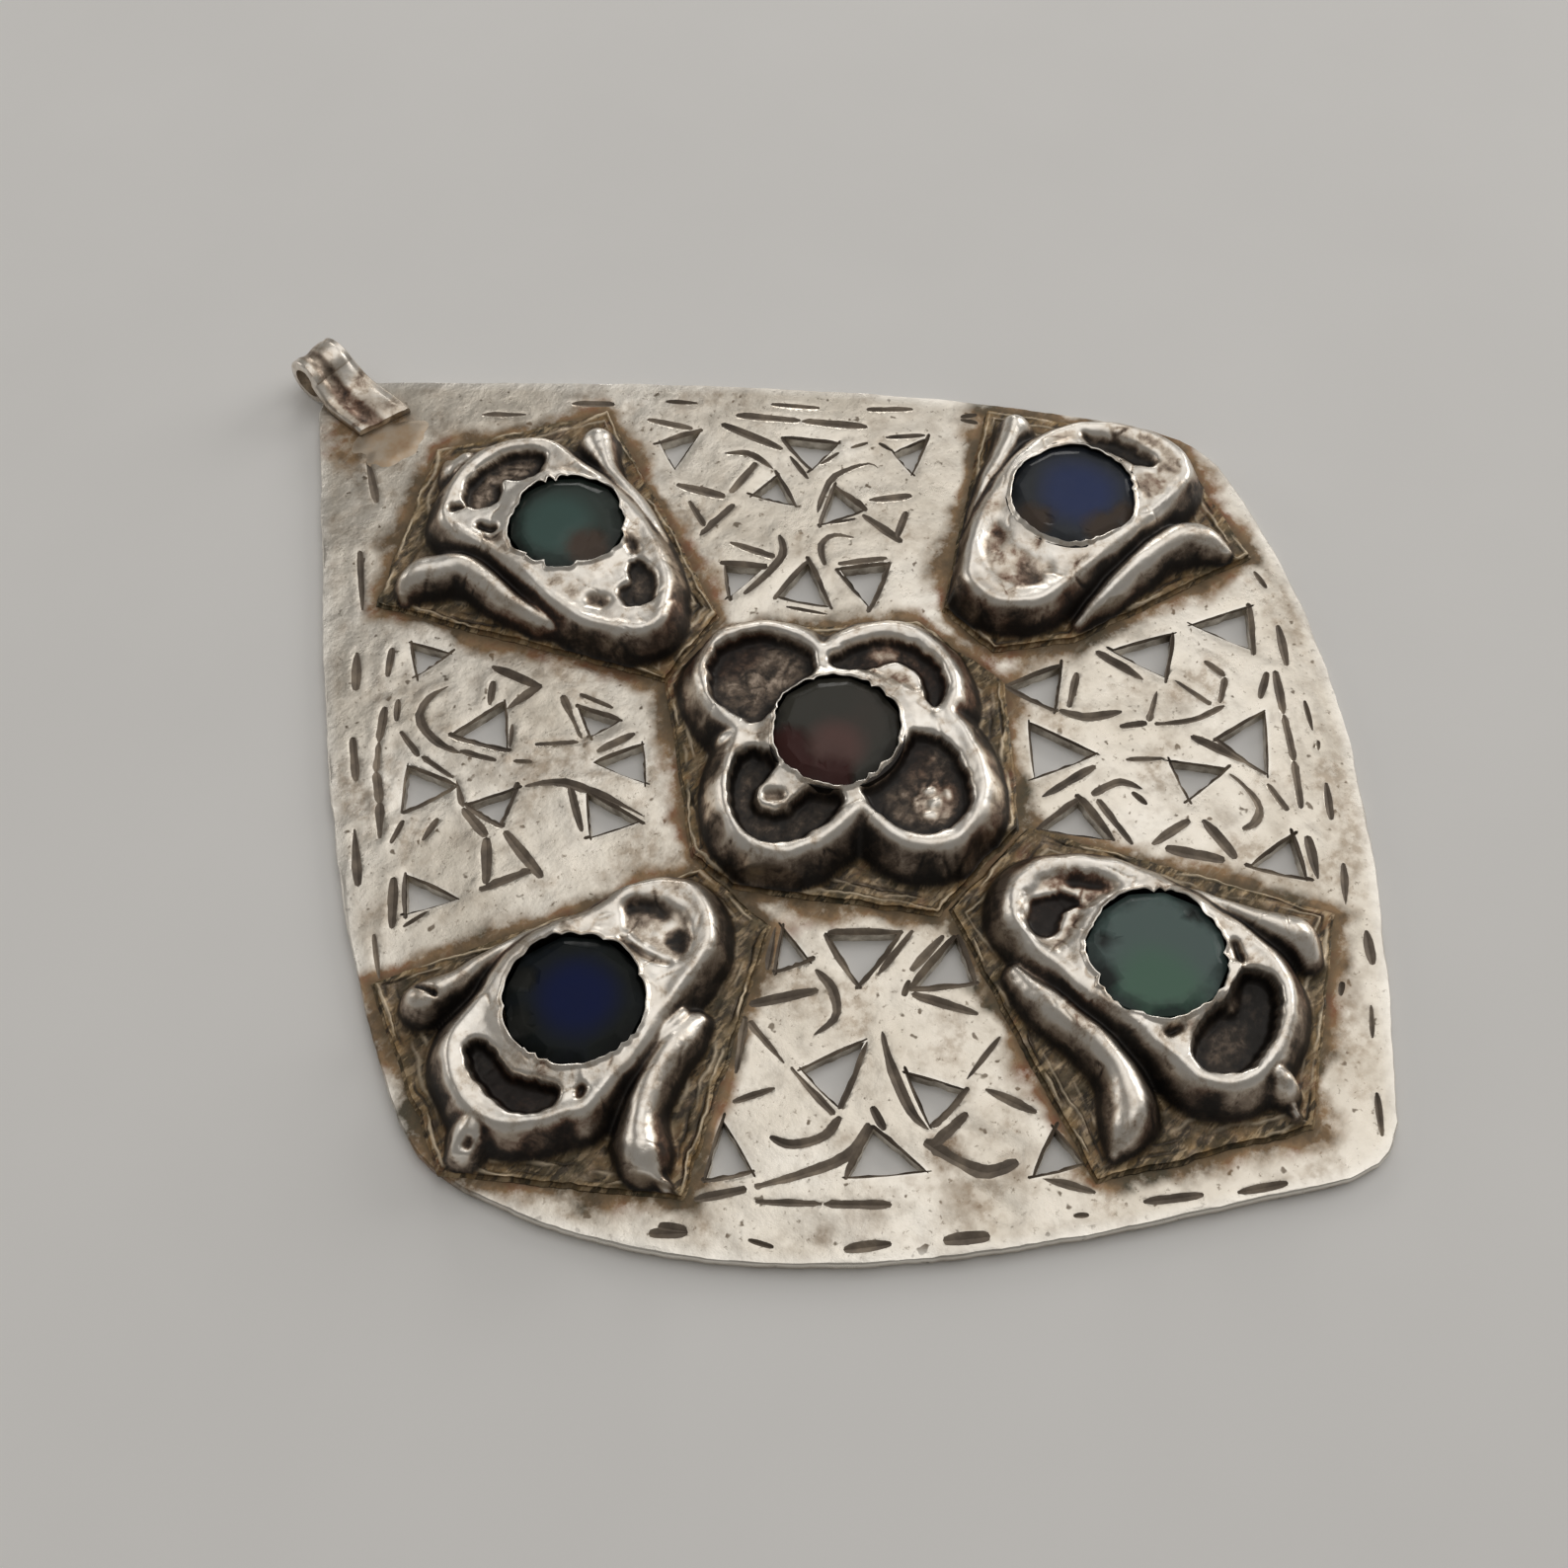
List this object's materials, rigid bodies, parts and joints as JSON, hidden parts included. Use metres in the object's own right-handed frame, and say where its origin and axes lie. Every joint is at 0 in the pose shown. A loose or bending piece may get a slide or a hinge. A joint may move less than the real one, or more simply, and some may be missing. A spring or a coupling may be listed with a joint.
{
  "type": "hamsa pendant",
  "caption": "Pierced lozenge silver pendant with raised cast plaques that hold dark faceted glass stones, and a grooved strip bail.",
  "frame": {"origin": "middle of the pendant's outline, on the back of the plate, where it rests", "axes": "+Y along the pendant towards the bail, +X across it, +Z out of the face with the stones"},
  "size_m": [0.066, 0.0832, 0.0039],
  "materials": {
    "old_silver": "worn silver, brown tarnish in the hollows",
    "green_glass_dark": "dark grey-green glass, nearly opaque",
    "blue_glass": "dark blue glass, nearly opaque",
    "green_glass": "grey-green glass, nearly opaque",
    "navy_glass": "very dark navy glass, nearly opaque",
    "red_glass": "dark grey-red glass, nearly opaque"
  },
  "bodies": {
    "root": {"silver_mount": "old_silver", "stone_top": "green_glass_dark", "stone_right": "blue_glass", "stone_bottom": "green_glass", "stone_left": "navy_glass", "stone_center": "red_glass"}
  },
  "joints": []
}
